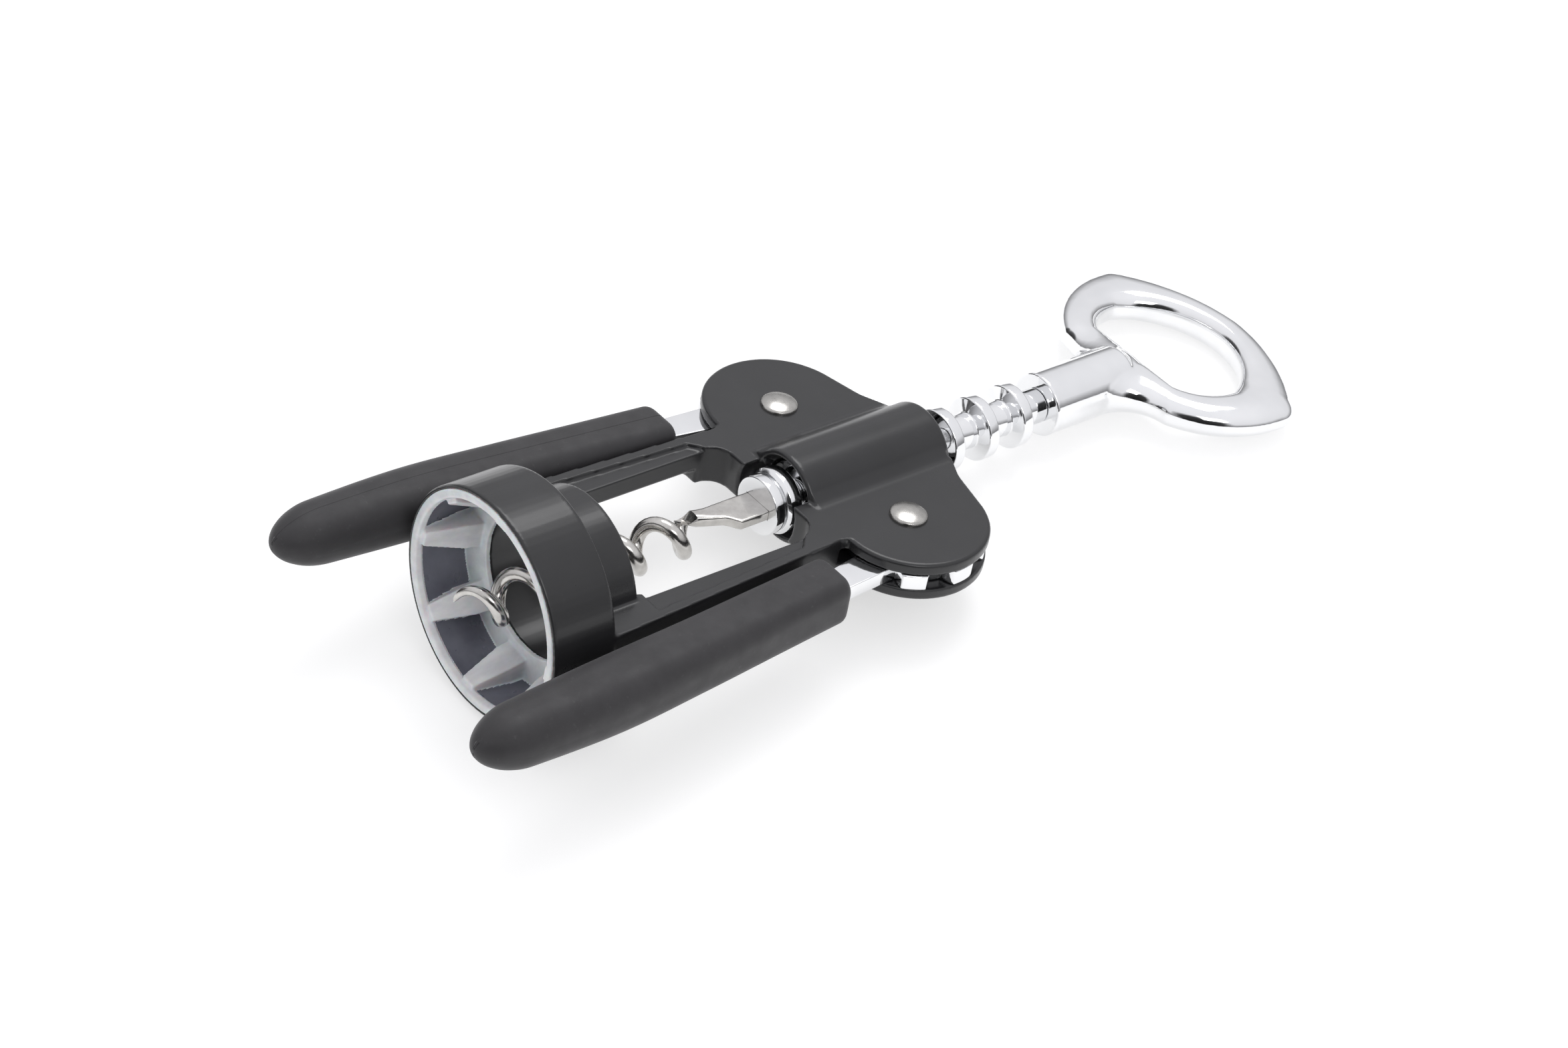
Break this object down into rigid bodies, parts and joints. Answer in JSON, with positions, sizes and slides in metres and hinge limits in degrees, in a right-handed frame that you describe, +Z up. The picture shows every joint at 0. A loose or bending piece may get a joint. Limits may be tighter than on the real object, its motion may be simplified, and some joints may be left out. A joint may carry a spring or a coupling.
{
  "type": "lever corkscrew",
  "caption": "Wing corkscrew: bell, ring rack, two geared levers with soft grips, right-hand worm and a bottle-opener handle.",
  "frame": {"origin": "centre of the bounding box's bottom face, on the surface that the tool lies on", "axes": "+Z up from that surface; +Y along the tool from the bell's mouth to the bottle opener, level, while the tool's own axis dips 6.13 degrees towards +Y because it rests on the bell and on the opener; +X across the wings"},
  "size_m": [0.0722, 0.2034, 0.044],
  "materials": {
    "black_enamel": "satin black coating on zinc die casting",
    "frosted_plastic": "translucent moulded plastic",
    "chrome_plate": "bright plating",
    "worm_steel": "polished steel wire",
    "rivet_steel": "satin nickel",
    "soft_grip": "matt soft-touch"
  },
  "bodies": {
    "frame": {"frame_casting": "black_enamel", "bell_liner": "frosted_plastic", "rivet_right": "rivet_steel", "rivet_left": "rivet_steel"},
    "rack": {"rack_sleeve": "chrome_plate"},
    "spindle": {"opener_handle": "chrome_plate", "worm_socket": "chrome_plate", "worm": "worm_steel"},
    "right_lever": {"lever_right": "chrome_plate", "grip_right": "soft_grip"},
    "left_lever": {"lever_left": "chrome_plate", "grip_left": "soft_grip"}
  },
  "joints": [
    {"name": "right_lever_pivot", "type": "hinge", "parent": "frame", "child": "right_lever", "pos_m": [0.01864, -0.00057, 0.01419], "axis": [0, 0.1068, 0.9943], "range_deg": [0, 140]},
    {"name": "left_lever_pivot", "type": "hinge", "parent": "frame", "child": "left_lever", "pos_m": [-0.01864, -0.00057, 0.01419], "axis": [0, 0.1068, 0.9943], "range_deg": [-140, 0]},
    {"name": "rack_slide", "type": "slide", "parent": "frame", "child": "rack", "axis": [0, 0.9943, -0.1068], "range_m": [-0.02975, 0]},
    {"name": "handle_spin", "type": "hinge", "parent": "rack", "child": "spindle", "pos_m": [0, -0.00057, 0.01419], "axis": [0, 0.9943, -0.1068], "continuous": true}
  ],
  "couplings": [
    {"joint": "left_lever_pivot", "follows": "right_lever_pivot", "ratio": -1},
    {"joint": "rack_slide", "follows": "right_lever_pivot", "m_per_rad": -0.012175}
  ]
}
